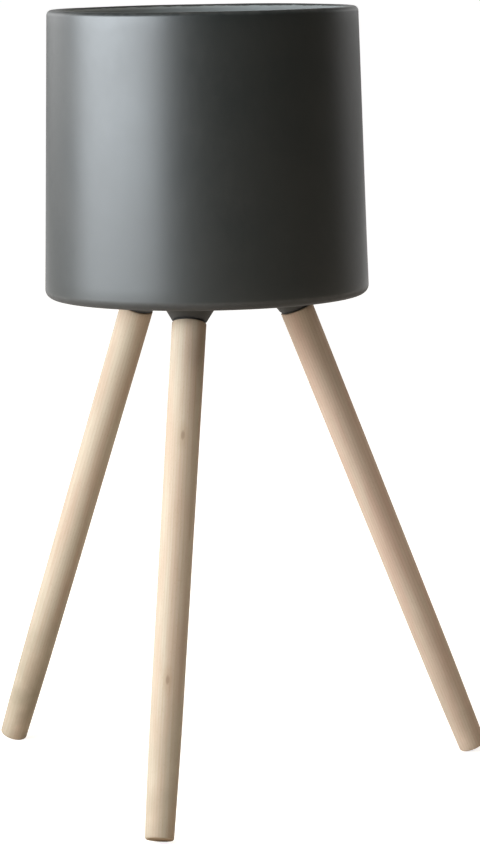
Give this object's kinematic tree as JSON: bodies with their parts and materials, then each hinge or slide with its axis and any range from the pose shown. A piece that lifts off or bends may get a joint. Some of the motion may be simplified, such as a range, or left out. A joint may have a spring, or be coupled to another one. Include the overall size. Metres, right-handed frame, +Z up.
{
  "type": "planter on legs",
  "caption": "Round charcoal planter pot with a thin rounded lip on splayed tapered wooden legs that screw into sockets under it.",
  "frame": {"origin": "on the floor, under the middle of the planter's overall footprint; the pot's axis stands 50.1 mm behind it (+Y), because one leg reaches forward", "axes": "+Z up; the front leg points along -Y and the planter is symmetric left to right about X = 0"},
  "size_m": [0.3842, 0.34, 0.5761],
  "materials": {
    "pot_body": "satin",
    "wood": "raw, fine sanded",
    "brass": "turned",
    "zinc_steel": "zinc plated",
    "rubber": "matt"
  },
  "bodies": {
    "pot": {"pot": "pot_body", "front_insert": "brass", "left_insert": "brass", "right_insert": "brass"},
    "drain_plug": {"drain_plug": "rubber"},
    "front_washer": {"front_washer": "rubber"},
    "front_leg": {"front_leg": "wood", "front_bolt": "zinc_steel"},
    "left_washer": {"left_washer": "rubber"},
    "left_leg": {"left_leg": "wood", "left_bolt": "zinc_steel"},
    "right_washer": {"right_washer": "rubber"},
    "right_leg": {"right_leg": "wood", "right_bolt": "zinc_steel"}
  },
  "joints": [
    {"name": "plug_pull", "type": "slide", "parent": "pot", "child": "drain_plug", "axis": [0, 0, 1], "range_m": [0, 0.03]},
    {"name": "front_leg_travel", "type": "slide", "parent": "pot", "child": "front_washer", "axis": [0, -0.3746, -0.9272], "range_m": [0, 0.0126]},
    {"name": "front_leg_turn", "type": "hinge", "parent": "front_washer", "child": "front_leg", "pos_m": [0, -0.0203, 0.35119], "axis": [0, -0.3746, -0.9272], "range_deg": [0, 3600]},
    {"name": "left_leg_travel", "type": "slide", "parent": "pot", "child": "left_washer", "axis": [-0.3244, 0.1873, -0.9272], "range_m": [0, 0.0126]},
    {"name": "left_leg_turn", "type": "hinge", "parent": "left_washer", "child": "left_leg", "pos_m": [-0.061, 0.08535, 0.35119], "axis": [-0.3244, 0.1873, -0.9272], "range_deg": [0, 3600]},
    {"name": "right_leg_travel", "type": "slide", "parent": "pot", "child": "right_washer", "axis": [0.3244, 0.1873, -0.9272], "range_m": [0, 0.0126]},
    {"name": "right_leg_turn", "type": "hinge", "parent": "right_washer", "child": "right_leg", "pos_m": [0.061, 0.08535, 0.35119], "axis": [0.3244, 0.1873, -0.9272], "range_deg": [0, 3600]}
  ],
  "couplings": [
    {"joint": "front_leg_travel", "follows": "front_leg_turn", "m_per_rad": 0.00019894},
    {"joint": "left_leg_travel", "follows": "left_leg_turn", "m_per_rad": 0.00019894},
    {"joint": "right_leg_travel", "follows": "right_leg_turn", "m_per_rad": 0.00019894}
  ]
}
